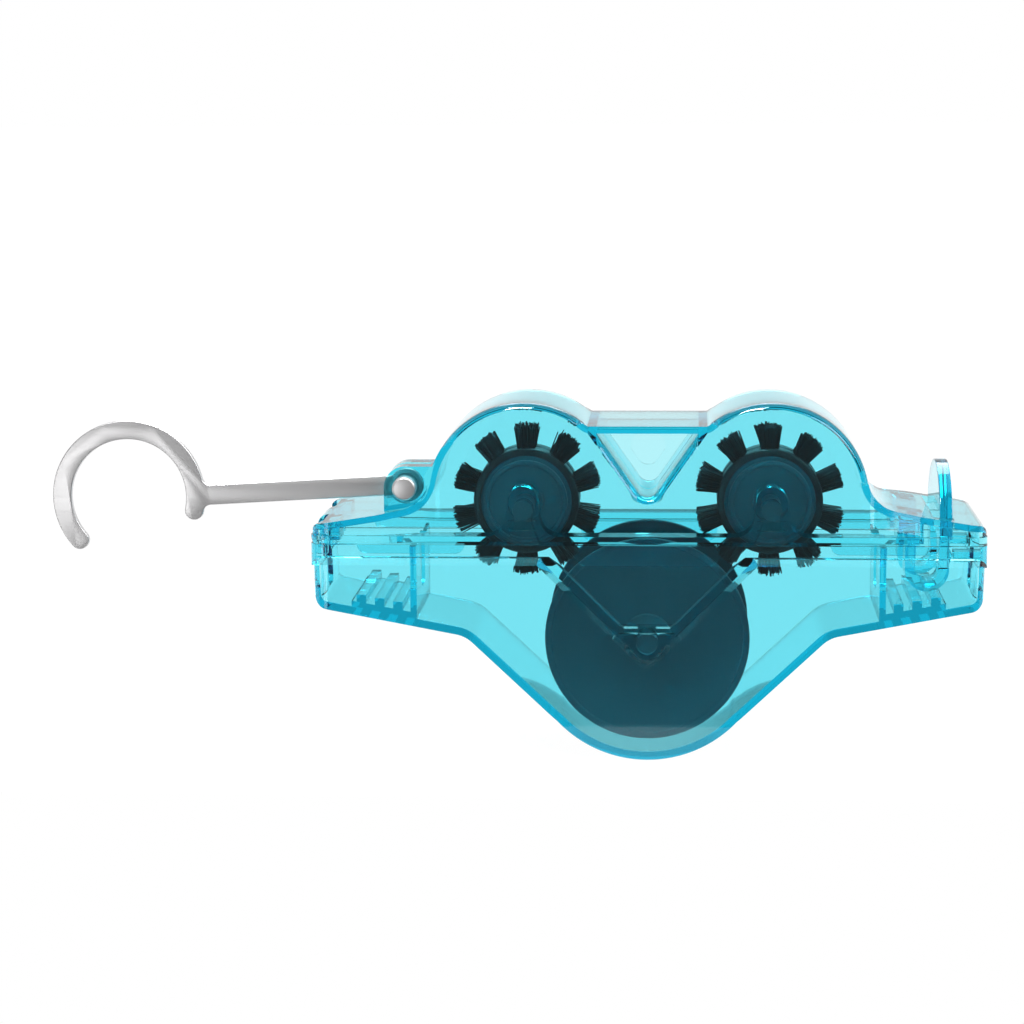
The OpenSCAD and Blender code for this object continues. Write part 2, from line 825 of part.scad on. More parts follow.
// A strand with three sides, from its root to its tip
module strand(root, tip) {
    run = (tip - root) / norm(tip - root);
    side_a = cross(run, abs(run[1]) < steep_share ? [0, 1, 0] : [1, 0, 0]);
    u = side_a / norm(side_a) * strand_w;
    v = cross(run, u);
    ring = [for (k = [0:2]) u * cos(120 * k) + v * sin(120 * k)];
    polyhedron([for (k = [0:2]) root + ring[k], for (k = [0:2]) tip + ring[k] * strand_taper_share],
               [[0, 1, 2], [5, 4, 3], [0, 3, 1], [1, 3, 4], [1, 4, 2], [2, 4, 5], [2, 5, 0],
                [0, 5, 3]]);
}

// Places of the strands in a round tuft, as shares of its radius
function tuft_spot(k, count) = k == 0 ? [0, 0]
    : [cos(360 * k / (count - 1)), sin(360 * k / (count - 1))];

// One row of radial tufts about the Y axis
module radial_tufts(y)
    for (t = [0:tufts - 1])
        rotate([0, 360 * t / tufts, 0])
            for (k = [0:strands_per_tuft - 1]) {
                spot = tuft_spot(k, strands_per_tuft);
                strand([spot[0] * tuft_root_r, y + spot[1] * tuft_root_r, brush_hub_r - tuft_sink],
                       [spot[0] * tuft_tip_r, y + spot[1] * tuft_tip_r,
                        sqrt(pow(brush_tip_r - strand_w, 2) - pow(spot[0] * tuft_tip_r, 2))]);
            }

module ring(inner, outer, width)
    rotate([90, 0, 0])
        difference() {
            cylinder(h = width, r = outer, center = true);
            cylinder(h = width + 2 * overrun, r = inner, center = true);
        }

module brush_bristles(side)
    color(bristle_black) {
        translate([0, side * row_y, 0])
            ring(brush_hub_r - tuft_sink - backing_t, brush_hub_r, 2 * row_y - loose_gap);
        radial_tufts(side * row_y);
    }

// Hub with a seat for the bristle rings
module brush_hub()
    color(dark_teal)
        difference() {
            axle(brush_hub_r - tuft_sink - backing_t - press_gap, brush_hub_w);
            axle(brush_axle_r + press_gap, brush_hub_w + 2 * overrun);
        }

module brush_cap(side)
    color(dark_teal)
        translate([0, side * (brush_hub_w / 2 + brush_cap_t / 2), 0])
            ring(brush_axle_r + press_gap, brush_cap_r, brush_cap_t);

module brush_axle()
    color(dark_teal) axle(brush_axle_r, brush_axle_len);

module at_brush(side) at_parting() translate([side * dome_x, 0, brush_rise]) children();

module at_scrub() at_parting() translate([0, 0, -scrub_drop]) children();

module scrub_axle() color(dark_teal) at_scrub() axle(scrub_axle_r, scrub_axle_len);

module scrub_roller()
    color(dark_teal) at_scrub()
        difference() {
            union() {
                axle(roller_neck_r, 2 * disc_inner_y);
                axle(roller_r, roller_groove_w);
            }
            axle(scrub_axle_r + press_gap, scrub_w + 2 * overrun);
        }

module scrub_disc(side)
    color(dark_teal) at_scrub()
        translate([0, side * (disc_inner_y + scrub_disc_t / 2), 0])
            ring(scrub_axle_r + press_gap, scrub_disc_r, scrub_disc_t);

// Tufts that point inwards from a disc
module scrub_bristles(side)
    color(bristle_black) at_scrub() {
        translate([0, side * (disc_inner_y - backing_t / 2), 0])
            ring(disc_tuft_r - 2 * tuft_tip_r, disc_tuft_r + 2 * tuft_tip_r, backing_t);
        for (t = [0:disc_tufts - 1])
            rotate([0, 360 * t / disc_tufts, 0])
                translate([0, 0, disc_tuft_r])
                    for (k = [0:disc_strands - 1]) {
                        spot = tuft_spot(k, disc_strands);
                        strand([spot[0] * tuft_root_r, side * (disc_inner_y - backing_t / 2),
                                spot[1] * tuft_root_r],
                               [spot[0] * disc_tuft_tip_r, side * (disc_inner_y - disc_bristle_len),
                                spot[1] * disc_tuft_tip_r]);
                    }
    }

tank_shell();
cover_shell();
hook_arm();
hook_pin();
latch_tab();
latch_spring();
at_brush(-1) brush_axle();  // left_brush_axle
at_brush(-1) brush_hub();  // left_brush_hub
at_brush(-1) brush_cap(-1);  // left_brush_front_cap
at_brush(-1) brush_cap(1);  // left_brush_rear_cap
at_brush(-1) brush_bristles(-1);  // left_brush_front_bristles
at_brush(-1) brush_bristles(1);  // left_brush_rear_bristles
at_brush(1) brush_axle();  // right_brush_axle
at_brush(1) brush_hub();  // right_brush_hub
at_brush(1) brush_cap(-1);  // right_brush_front_cap
at_brush(1) brush_cap(1);  // right_brush_rear_cap
at_brush(1) brush_bristles(-1);  // right_brush_front_bristles
at_brush(1) brush_bristles(1);  // right_brush_rear_bristles
scrub_axle();
scrub_roller();
scrub_disc(-1);  // scrub_front_disc
scrub_disc(1);  // scrub_rear_disc
scrub_bristles(-1);  // scrub_front_bristles
scrub_bristles(1);  // scrub_rear_bristles
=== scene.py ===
"""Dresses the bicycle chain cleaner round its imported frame.

The clear cover and tank get soft moulded edges, the wheels get full tufts of nylon, and the hook
is brushed steel. Lengths are in millimetres where they are written, and become metres through MM.
X runs along the chain, -Y is the front, +Z is up.
"""

from __future__ import annotations

import logging
import math
import random
from dataclasses import dataclass, field
from enum import Enum
from typing import Callable, Sequence

import bpy
from mathutils import Matrix, Vector
from mathutils.kdtree import KDTree

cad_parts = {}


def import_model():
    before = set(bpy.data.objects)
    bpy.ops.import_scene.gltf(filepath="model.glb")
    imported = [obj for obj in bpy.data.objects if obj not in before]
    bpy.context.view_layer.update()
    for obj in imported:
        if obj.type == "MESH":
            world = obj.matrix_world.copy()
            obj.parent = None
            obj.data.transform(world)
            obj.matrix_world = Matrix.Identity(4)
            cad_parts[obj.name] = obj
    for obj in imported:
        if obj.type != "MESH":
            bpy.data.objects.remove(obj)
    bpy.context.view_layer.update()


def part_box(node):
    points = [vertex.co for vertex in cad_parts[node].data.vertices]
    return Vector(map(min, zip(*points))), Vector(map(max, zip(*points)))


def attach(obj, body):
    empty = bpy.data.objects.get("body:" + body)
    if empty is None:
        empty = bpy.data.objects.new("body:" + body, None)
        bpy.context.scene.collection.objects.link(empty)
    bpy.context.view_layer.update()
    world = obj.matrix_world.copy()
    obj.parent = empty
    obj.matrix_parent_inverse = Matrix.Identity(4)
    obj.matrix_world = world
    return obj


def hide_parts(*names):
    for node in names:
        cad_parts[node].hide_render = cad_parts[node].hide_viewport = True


LOG = logging.getLogger("chain_cleaner")
MM = 0.001
PARTING = 9.0
MERGE_GAP = 0.002
FLAT_ANGLE = 0.6
TUFT_SMOOTH = 60.0
TURN_STEPS = 96
SENSOR = 36.0
WHITE = (1.0, 1.0, 1.0, 1.0)

# Radius and place along the axle of each corner, in millimetres.
DRUM_PROFILE = ((2.52, -6.5), (11.3, -6.5), (11.58, -6.2), (11.58, 6.2), (11.3, 6.5), (2.52, 6.5))
CAP_PROFILE = (
    (2.52, 6.5), (10.5, 6.5), (10.5, 7.8), (10.2, 8.1), (9.5, 8.1),
    (9.2, 7.7), (4.6, 7.7), (4.3, 8.1), (2.52, 8.1),
)


class Slot(Enum):
    """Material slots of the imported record."""

    CLEAR = "clear_plastic"
    DARK = "dark_plastic"
    BRISTLE = "bristle"
    STEEL = "steel"


class Side(Enum):
    """Front or rear half of a wheel or a shell, as the sign of Y."""

    FRONT = -1
    REAR = 1


class Hand(Enum):
    """Left or right brush wheel."""

    LEFT = -1
    RIGHT = 1


def deselect_all() -> None:
    """Leave edit mode and clear the selection."""
    if bpy.context.object and bpy.context.object.mode != "OBJECT":
        bpy.ops.object.mode_set(mode="OBJECT")
    bpy.ops.object.select_all(action="DESELECT")


def pick(piece: bpy.types.Object) -> None:
    """Make a piece the only selected and the active object.

    Args:
        piece: The object to work on.
    """
    deselect_all()
    piece.select_set(True)
    bpy.context.view_layer.objects.active = piece


def newest(name: str) -> bpy.types.Object:
    """Name the object that an operator has just added.

    Args:
        name: The piece's name.

    Returns:
        The active object, renamed.
    """
    piece = bpy.context.object
    piece.name = name
    piece.data.name = name
    return piece


def settle(piece: bpy.types.Object) -> bpy.types.Object:
    """Put a piece's place, turn and size into its mesh.

    Args:
        piece: The object to settle.

    Returns:
        The same object, at the origin.
    """
    pick(piece)
    bpy.ops.object.transform_apply(location=True, rotation=True, scale=True)
    return piece


def apply_modifier(piece: bpy.types.Object, kind: str, **settings: object) -> None:
    """Add a modifier and apply it.

    Args:
        piece: The object that it works on.
        kind: Blender's name of the modifier.
        **settings: The modifier's own values.
    """
    pick(piece)
    modifier = piece.modifiers.new(kind.title(), kind)
    for key, value in settings.items():
        setattr(modifier, key, value)
    bpy.ops.object.modifier_apply(modifier=modifier.name)


def soften(piece: bpy.types.Object, width: float, segments: int = 2, angle: float = 35.0) -> None:
    """Round a piece's sharp edges a little, as a mould does.

    Args:
        piece: The object to soften.
        width: Width of the rounding in millimetres.
        segments: Steps across the rounding.
        angle: Edges sharper than this many degrees are rounded.
    """
    apply_modifier(
        piece,
        "BEVEL",
        width=width * MM,
        segments=segments,
        limit_method="ANGLE",
        angle_limit=math.radians(angle),
        use_clamp_overlap=True,
        miter_outer="MITER_ARC",
    )


def ramp(value: float, start: float, length: float) -> float:
    """Rise from 0 to 1 over a length.

    Args:
        value: Where to read the ramp.
        start: Where it leaves 0.
        length: How far it takes to reach 1.

    Returns:
        A share from 0 to 1.
    """
    return min(1.0, max(0.0, (value - start) / length))


@dataclass(frozen=True)
class MouldedRim:
    """Rounding of an outline that is drawn across Y, on both faces of a shell."""

    depth: float
    radius: float
    steps: int = 5
    near: float = 0.05
    match: float = 0.02
    face_on: float = 0.9
    side_on: float = 0.1
    least_way: float = 0.1

    @property
    def inner(self) -> float:
        """Distance from the middle where the rounding starts."""
        return self.depth - self.radius

    def levels(self) -> list[float]:
        """List the distances from the middle where the rounding needs a cut."""
        return [
            self.inner + self.radius * math.sin(math.pi / 2 * step / self.steps)
            for step in range(self.steps)
        ]

    def inset(self, along: float) -> float:
        """Work out how far the outline moves in at a distance from the middle.

        Args:
            along: Distance from the middle in millimetres.

        Returns:
            Millimetres inwards.
        """
        reach = max(0.0, along - self.depth + self.radius)
        return self.radius - math.sqrt(max(0.0, self.radius**2 - reach**2))

    def outline(
        self, mesh: bpy.types.Mesh, wanted: Callable[[Vector], float]
    ) -> list[tuple[Vector, Vector]]:
        """Find the outline's points and the ways that its sides face.

        Args:
            mesh: The shell's mesh.
            wanted: Takes a point in millimetres and gives the share of the effect there.

        Returns:
            Each point with its Y left out, and its outward direction times its share.
        """
        facing: dict[int, Vector] = {}
        ends: set[int] = set()
        for face in mesh.polygons:
            on_face = [
                index
                for index in face.vertices
                if abs(abs(mesh.vertices[index].co.y) / MM - self.depth) < self.near
            ]
            if abs(face.normal.y) > self.face_on:
                ends.update(on_face)
            elif abs(face.normal.y) < self.side_on:
                for index in on_face:
                    facing[index] = facing.get(index, Vector()) + face.normal
        found = []
        for index in ends & facing.keys():
            point = mesh.vertices[index].co / MM
            share = wanted(point)
            if share > 0.0 and facing[index].length > self.least_way:
                way = Vector((facing[index].x, 0.0, facing[index].z)).normalized()
                found.append((Vector((point.x, 0.0, point.z)), way * share))
        return found

    def shape(self, piece: bpy.types.Object, wanted: Callable[[Vector], float]) -> None:
        """Cut the shell across and move the outline at each cut.

        Args:
            piece: The shell.
            wanted: Takes a point in millimetres and gives the share of the effect there.
        """
        outline = self.outline(piece.data, wanted)
        pick(piece)
        bpy.ops.object.mode_set(mode="EDIT")
        for side in Side:
            for level in self.levels():
                bpy.ops.mesh.select_all(action="SELECT")
                bpy.ops.mesh.bisect(plane_co=(0, side.value * level * MM, 0), plane_no=(0, 1, 0))
        bpy.ops.mesh.select_all(action="DESELECT")
        bpy.ops.object.mode_set(mode="OBJECT")
        tree = KDTree(len(outline))
        for index, (point, _) in enumerate(outline):
            tree.insert(point, index)
        tree.balance()
        moved = 0
        for vertex in piece.data.vertices:
            point = vertex.co / MM
            along = abs(point.y)
            if not self.inner - self.near < along < self.depth + self.near:
                continue
            _, index, gap = tree.find((point.x, 0.0, point.z))
            if index is not None and gap < self.match:
                vertex.co -= outline[index][1] * self.inset(along) * MM
                moved += 1
        piece.data.update()
        LOG.info("%s: %d of %d points moved", piece.name, moved, len(piece.data.vertices))


def smooth(piece: bpy.types.Object, angle: float = 32.0) -> None:
    """Shade a piece smoothly up to an angle.

    Args:
        piece: The object to shade.
        angle: Sharpest edge that is shaded smoothly, in degrees.
    """
    pick(piece)
    bpy.ops.object.shade_smooth_by_angle(angle=math.radians(angle))


def from_frame(node: str, name: str) -> bpy.types.Object:
    """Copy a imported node's mesh as the start of a finer piece.

    Args:
        node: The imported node.
        name: The new piece's name.

    Returns:
        A new object with a closed mesh of large flat faces.
    """
    source = bpy.data.objects[node]
    piece = bpy.data.objects.new(name, source.data.copy())
    bpy.context.scene.collection.objects.link(piece)
    piece.data.materials.clear()
    pick(piece)
    bpy.ops.object.mode_set(mode="EDIT")
    bpy.ops.mesh.select_all(action="SELECT")
    bpy.ops.mesh.remove_doubles(threshold=MERGE_GAP * MM)
    bpy.ops.mesh.dissolve_limited(angle_limit=math.radians(FLAT_ANGLE))
    bpy.ops.object.mode_set(mode="OBJECT")
    return piece


def hand_over(
    piece: bpy.types.Object,
    body: str,
    material: bpy.types.Material,
    nodes: Sequence[str] = (),
) -> bpy.types.Object:
    """Give a finished piece its material, its body and the nodes that it stands for.

    Args:
        piece: The finished object.
        body: Body of the frame that it moves with.
        material: Its material.
        nodes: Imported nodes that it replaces.

    Returns:
        The same object.
    """
    piece.data.materials.clear()
    piece.data.materials.append(material)
    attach(piece, body)
    if nodes:
        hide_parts(*nodes)
    LOG.info("%s rides on %s with %d faces", piece.name, body, len(piece.data.polygons))
    return piece


def dress(node: str, material: bpy.types.Material) -> None:
    """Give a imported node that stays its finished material.

    Args:
        node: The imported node.
        material: Its material.
    """
    piece = bpy.data.objects[node]
    piece.data.materials.clear()
    piece.data.materials.append(material)


class Grain:
    """A shader node group with named sockets, built once and used by several finishes."""

    def __init__(self, name: str, inputs: dict[str, float], outputs: Sequence[str]) -> None:
        """Open a new group.

        Args:
            name: The group's name.
            inputs: Name and default of each number that goes in.
            outputs: Name of each number that comes out.
        """
        self.tree = bpy.data.node_groups.new(name, "ShaderNodeTree")
        face = self.tree.interface
        face.new_socket("Vector", in_out="INPUT", socket_type="NodeSocketVector")
        for key, value in inputs.items():
            socket = face.new_socket(key, in_out="INPUT", socket_type="NodeSocketFloat")
            socket.default_value = value
        for key in outputs:
            face.new_socket(key, in_out="OUTPUT", socket_type="NodeSocketFloat")
        self.enter = self.tree.nodes.new("NodeGroupInput")
        self.leave = self.tree.nodes.new("NodeGroupOutput")

    def node(self, kind: str, **settings: object) -> bpy.types.Node:
        """Add a node to the group.

        Args:
            kind: Blender's name of the node.
            **settings: Properties of the node.

        Returns:
            The new node.
        """
        made = self.tree.nodes.new(kind)
        for key, value in settings.items():
            setattr(made, key, value)
        return made

    def link(self, start: bpy.types.NodeSocket, end: bpy.types.NodeSocket) -> None:
        """Join two sockets."""
        self.tree.links.new(start, end)

    def math(
        self,
        operation: str,
        first: bpy.types.NodeSocket | float,
        second: bpy.types.NodeSocket | float,
    ) -> bpy.types.NodeSocket:
        """Add a sum, product or other calculation of two numbers.

        Args:
            operation: Blender's name of the calculation.
            first: A socket or a number.
            second: A socket or a number.

        Returns:
            The socket with the result.
        """
        made = self.node("ShaderNodeMath", operation=operation)
        for index, value in enumerate((first, second)):
            if isinstance(value, bpy.types.NodeSocket):
                self.link(value, made.inputs[index])
            else:
                made.inputs[index].default_value = value
        return made.outputs[0]


def moulded_skin() -> bpy.types.NodeTree:
    """Build the group for moulded plastic: slow ripples, fine scuffs and uneven gloss.

    Returns:
        The finished group.
    """
    grain = Grain(
        "moulded_skin",
        {"Ripple Scale": 60.0, "Ripple": 0.5, "Scuff Scale": 900.0, "Scuff": 0.2, "Gloss": 0.04},
        ("Height", "Roughness"),
    )
    slow = grain.node("ShaderNodeTexNoise", noise_dimensions="3D")
    fine = grain.node("ShaderNodeTexNoise", noise_dimensions="3D")
    slow.inputs["Detail"].default_value = 1.0
    fine.inputs["Detail"].default_value = 4.0
    fine.inputs["Distortion"].default_value = 0.6
    for noise, scale in ((slow, "Ripple Scale"), (fine, "Scuff Scale")):
        grain.link(grain.enter.outputs["Vector"], noise.inputs["Vector"])
        grain.link(grain.enter.outputs[scale], noise.inputs["Scale"])
    rise = grain.math("MULTIPLY", slow.outputs["Fac"], grain.enter.outputs["Ripple"])
    scratch = grain.math("MULTIPLY", fine.outputs["Fac"], grain.enter.outputs["Scuff"])
    grain.link(grain.math("ADD", rise, scratch), grain.leave.inputs["Height"])
    wander_share, steady_share = 0.8, 0.6
    spread = grain.math("MULTIPLY", grain.enter.outputs["Gloss"], wander_share)
    wander = grain.math("MULTIPLY", slow.outputs["Fac"], spread)
    base = grain.math("MULTIPLY", grain.enter.outputs["Gloss"], steady_share)
    grain.link(grain.math("ADD", base, wander), grain.leave.inputs["Roughness"])
    return grain.tree


def brushed_grain() -> bpy.types.NodeTree:
    """Build the group for metal brushed along X, with faint blotches.

    Returns:
        The finished group.
    """
    grain = Grain(
        "brushed_grain",
        {"Grain Scale": 1.0, "Grain": 1.0, "Blotch": 0.12, "Gloss": 0.34},
        ("Height", "Roughness", "Shade"),
    )
    along, across = 90.0, 2600.0
    uneven_share, streak_share = 0.12, 0.16
    stretch = grain.node("ShaderNodeMapping")
    stretch.inputs["Scale"].default_value = (along, across, across)
    lines = grain.node("ShaderNodeTexNoise", noise_dimensions="3D")
    lines.inputs["Detail"].default_value = 3.0
    blotch = grain.node("ShaderNodeTexNoise", noise_dimensions="3D")
    blotch.inputs["Scale"].default_value = 120.0
    grain.link(grain.enter.outputs["Vector"], stretch.inputs["Vector"])
    grain.link(stretch.outputs["Vector"], lines.inputs["Vector"])
    grain.link(grain.enter.outputs["Grain Scale"], lines.inputs["Scale"])
    grain.link(grain.enter.outputs["Vector"], blotch.inputs["Vector"])
    height = grain.math("MULTIPLY", lines.outputs["Fac"], grain.enter.outputs["Grain"])
    grain.link(height, grain.leave.inputs["Height"])
    uneven = grain.math("MULTIPLY", lines.outputs["Fac"], uneven_share)
    rough = grain.math("ADD", uneven, grain.enter.outputs["Gloss"])
    grain.link(rough, grain.leave.inputs["Roughness"])
    patch = grain.math("MULTIPLY", blotch.outputs["Fac"], grain.enter.outputs["Blotch"])
    streak = grain.math("MULTIPLY", lines.outputs["Fac"], streak_share)
    grain.link(grain.math("ADD", patch, streak), grain.leave.inputs["Shade"])
    return grain.tree


@dataclass
class NodeGroups:
    """The shader groups that the finishes share."""

    moulded: bpy.types.NodeTree = field(default_factory=moulded_skin)
    brushed: bpy.types.NodeTree = field(default_factory=brushed_grain)


class Surface:
    """A material in the making: a Principled shader fed by one group on Object coordinates."""

    def __init__(self, name: str, group: bpy.types.NodeTree, values: dict[str, float]) -> None:
        """Open a new material.

        Args:
            name: The material's name.
            group: The shader group that varies it.
            values: The group's own numbers for this finish.
        """
        self.material = bpy.data.materials.new(name)
        self.material.use_nodes = True
        self.tree = self.material.node_tree
        self.tree.nodes.clear()
        self.output = self.tree.nodes.new("ShaderNodeOutputMaterial")
        self.shader = self.tree.nodes.new("ShaderNodeBsdfPrincipled")
        self.place = self.tree.nodes.new("ShaderNodeTexCoord")
        self.group = self.tree.nodes.new("ShaderNodeGroup")
        self.group.node_tree = group
        self.link(self.place.outputs["Object"], self.group.inputs["Vector"])
        for key, value in values.items():
            self.group.inputs[key].default_value = value
        self.link(self.group.outputs["Roughness"], self.shader.inputs["Roughness"])
        self.link(self.shader.outputs["BSDF"], self.output.inputs["Surface"])

    def link(self, start: bpy.types.NodeSocket, end: bpy.types.NodeSocket) -> None:
        """Join two sockets."""
        self.tree.links.new(start, end)

    def set(self, **values: object) -> None:
        """Set plain values on the shader, with spaces in names written as underscores."""
        for key, value in values.items():
            self.shader.inputs[key.replace("_", " ")].default_value = value

    def bump(self, strength: float, distance: float) -> None:
        """Raise the surface by the group's height.

        Args:
            strength: Share of the effect.
            distance: Height of the relief in millimetres.
        """
        bump = self.tree.nodes.new("ShaderNodeBump")
        bump.inputs["Strength"].default_value = strength
        bump.inputs["Distance"].default_value = distance * MM
        self.link(self.group.outputs["Height"], bump.inputs["Height"])
        self.link(bump.outputs["Normal"], self.shader.inputs["Normal"])

    def vary_colour(
        self, mask: bpy.types.NodeSocket, low: Sequence[float], high: Sequence[float]
    ) -> None:
        """Let the base colour run between two colours.

        Args:
            mask: Number that picks the colour.
            low: Colour at 0.
            high: Colour at 1.
        """
        mix = self.tree.nodes.new("ShaderNodeMix")
        mix.data_type = "RGBA"
        mix.inputs["A"].default_value = (*low, 1.0)
        mix.inputs["B"].default_value = (*high, 1.0)
        self.link(mask, mix.inputs["Factor"])
        self.link(mix.outputs["Result"], self.shader.inputs["Base Color"])


@dataclass(frozen=True)
class ClearPlastic:
    """Clear tinted plastic that is polished in the mould."""

    density: float = 125.0
    tint: tuple[float, float, float] = (0.01, 0.86, 0.925)
    skin: tuple[float, float, float] = (0.56, 0.945, 1.0)
    shine: float = 0.16
    gloss: float = 0.03
    ripple: float = 0.5
    ior: float = 1.49

    def material(self, name: str, groups: NodeGroups) -> bpy.types.Material:
        """Build the material.

        Args:
            name: The material's name.
            groups: The shared shader groups.

        Returns:
            The finished material.
        """
        surface = Surface(
            name,
            groups.moulded,
            {
                "Ripple Scale": 55.0,
                "Ripple": self.ripple,
                "Scuff Scale": 700.0,
                "Scuff": 0.04,
                "Gloss": self.gloss,
            },
        )
        surface.set(
            Base_Color=(*self.skin, 1.0),
            Transmission_Weight=1.0,
            IOR=self.ior,
            Specular_IOR_Level=self.shine,
        )
        surface.bump(strength=0.1, distance=0.12)
        fog = surface.tree.nodes.new("ShaderNodeVolumeAbsorption")
        fog.inputs["Color"].default_value = (*self.tint, 1.0)
        fog.inputs["Density"].default_value = self.density
        surface.link(fog.outputs["Volume"], surface.output.inputs["Volume"])
        return surface.material


@dataclass(frozen=True)
class DarkPlastic:
    """Dark moulded plastic of the wheels."""

    low: tuple[float, float, float] = (0.016, 0.092, 0.125)
    high: tuple[float, float, float] = (0.022, 0.118, 0.158)
    gloss: float = 0.42
    shine: float = 0.35

    def material(self, name: str, groups: NodeGroups) -> bpy.types.Material:
        """Build the material.

        Args:
            name: The material's name.
            groups: The shared shader groups.

        Returns:
            The finished material.
        """
        surface = Surface(
            name,
            groups.moulded,
            {
                "Ripple Scale": 70.0,
                "Ripple": 0.8,
                "Scuff Scale": 500.0,
                "Scuff": 0.05,
                "Gloss": self.gloss,
            },
        )
        surface.set(Specular_IOR_Level=self.shine)
        surface.vary_colour(surface.group.outputs["Height"], self.low, self.high)
        surface.bump(strength=0.08, distance=0.05)
        return surface.material


@dataclass(frozen=True)
class NylonBristle:
    """Near-black nylon strands."""

    low: tuple[float, float, float] = (0.002, 0.004, 0.006)
    high: tuple[float, float, float] = (0.012, 0.018, 0.024)
    gloss: float = 0.4
    shine: float = 0.4

    def material(self, name: str, groups: NodeGroups) -> bpy.types.Material:
        """Build the material.

        Args:
            name: The material's name.
            groups: The shared shader groups.

        Returns:
            The finished material.
        """
        surface = Surface(
            name,
            groups.moulded,
            {
                "Ripple Scale": 1500.0,
                "Ripple": 1.0,
                "Scuff Scale": 4000.0,
                "Scuff": 0.3,
                "Gloss": self.gloss,
            },
        )
        surface.set(Specular_IOR_Level=self.shine)
        surface.vary_colour(surface.group.outputs["Height"], self.low, self.high)
        return surface.material


@dataclass(frozen=True)
class BrushedSteel:
    """Stamped steel with a fine grain along the arm."""

    low: tuple[float, float, float] = (0.68, 0.675, 0.68)
    high: tuple[float, float, float] = (0.9, 0.895, 0.9)
    gloss: float = 0.32
    grain: float = 0.4

    def material(self, name: str, groups: NodeGroups) -> bpy.types.Material:
        """Build the material.

        Args:
            name: The material's name.
            groups: The shared shader groups.

        Returns:
            The finished material.
        """
        surface = Surface(name, groups.brushed, {"Gloss": self.gloss})
        surface.set(Metallic=1.0, Anisotropic=self.grain)
        surface.vary_colour(surface.group.outputs["Shade"], self.low, self.high)
        surface.bump(strength=0.2, distance=0.02)
        return surface.material


@dataclass
class Wardrobe:
    """Every finished material, built once."""

    groups: NodeGroups = field(default_factory=NodeGroups)

    def __post_init__(self) -> None:
        """Build the materials."""
        self.shell = ClearPlastic().material("clear_cyan", self.groups)
        self.dark = DarkPlastic().material("dark_teal", self.groups)
        self.bristle = NylonBristle().material("nylon_black", self.groups)
        self.steel = BrushedSteel().material("brushed_steel", self.groups)


@dataclass
class StrandPattern:
    """One bristle strand, modelled once and copied many times."""

    sides: int = 5
    taper: float = 0.7
    rings: tuple[float, float] = (0.4, 0.75)
    points: list[Vector] = field(default_factory=list)
    faces: list[tuple[int, ...]] = field(default_factory=list)

    def __post_init__(self) -> None:
        """Model the strand: a slim cone of length 1 with two rings between its ends."""
        deselect_all()
        bpy.ops.mesh.primitive_cone_add(
            vertices=self.sides, radius1=1.0, radius2=self.taper, depth=1.0, location=(0, 0, 0.5)
        )
        piece = settle(newest("strand_pattern"))
        bpy.ops.object.mode_set(mode="EDIT")
        for share in self.rings:
            bpy.ops.mesh.select_all(action="SELECT")
            bpy.ops.mesh.bisect(plane_co=(0, 0, share), plane_no=(0, 0, 1))
        bpy.ops.object.mode_set(mode="OBJECT")
        self.points = [vertex.co.copy() for vertex in piece.data.vertices]
        self.faces = [tuple(face.vertices) for face in piece.data.polygons]
        bpy.data.objects.remove(piece)

    def laid(self, root: Vector, tip: Vector, sag: Vector, radius: float) -> list[Vector]:
        """Place a copy of the strand's points.

        Args:
            root: Where the strand starts.
            tip: Where it ends.
            sag: How far it bows sideways at its tip.
            radius: Its radius at the root.

        Returns:
            The copy's points.
        """
        run = tip - root
        aside = run.orthogonal().normalized()
        across = run.cross(aside).normalized()
        return [
            root + run * point.z + sag * point.z**2 + (aside * point.x + across * point.y) * radius
            for point in self.points
        ]


class StrandField:
    """A mesh of many strands in the making."""

    def __init__(self, pattern: StrandPattern, seed: int) -> None:
        """Start an empty field.

        Args:
            pattern: The strand that is copied.
            seed: Seed of the small differences between strands.
        """
        self.pattern = pattern
        self.chance = random.Random(seed)
        self.points: list[Vector] = []
        self.faces: list[tuple[int, ...]] = []

    def add(self, root: Vector, tip: Vector, radius: float, bow: float) -> None:
        """Add one strand.

        Args:
            root: Where the strand starts.
            tip: Where it ends.
            radius: Its radius.
            bow: Largest sideways bow at the tip.
        """
        sag = Vector([self.chance.uniform(-bow, bow) for _ in range(3)])
        start = len(self.points)
        self.points += self.pattern.laid(root, tip, sag, radius)
        self.faces += [tuple(start + index for index in face) for face in self.pattern.faces]

    def piece(self, name: str) -> bpy.types.Object:
        """Make the field an object.

        Args:
            name: The piece's name.

        Returns:
            The new object.
        """
        mesh = bpy.data.meshes.new(name)
        mesh.from_pydata([tuple(point) for point in self.points], [], self.faces)
        mesh.update()
        made = bpy.data.objects.new(name, mesh)
        bpy.context.scene.collection.objects.link(made)
        return made


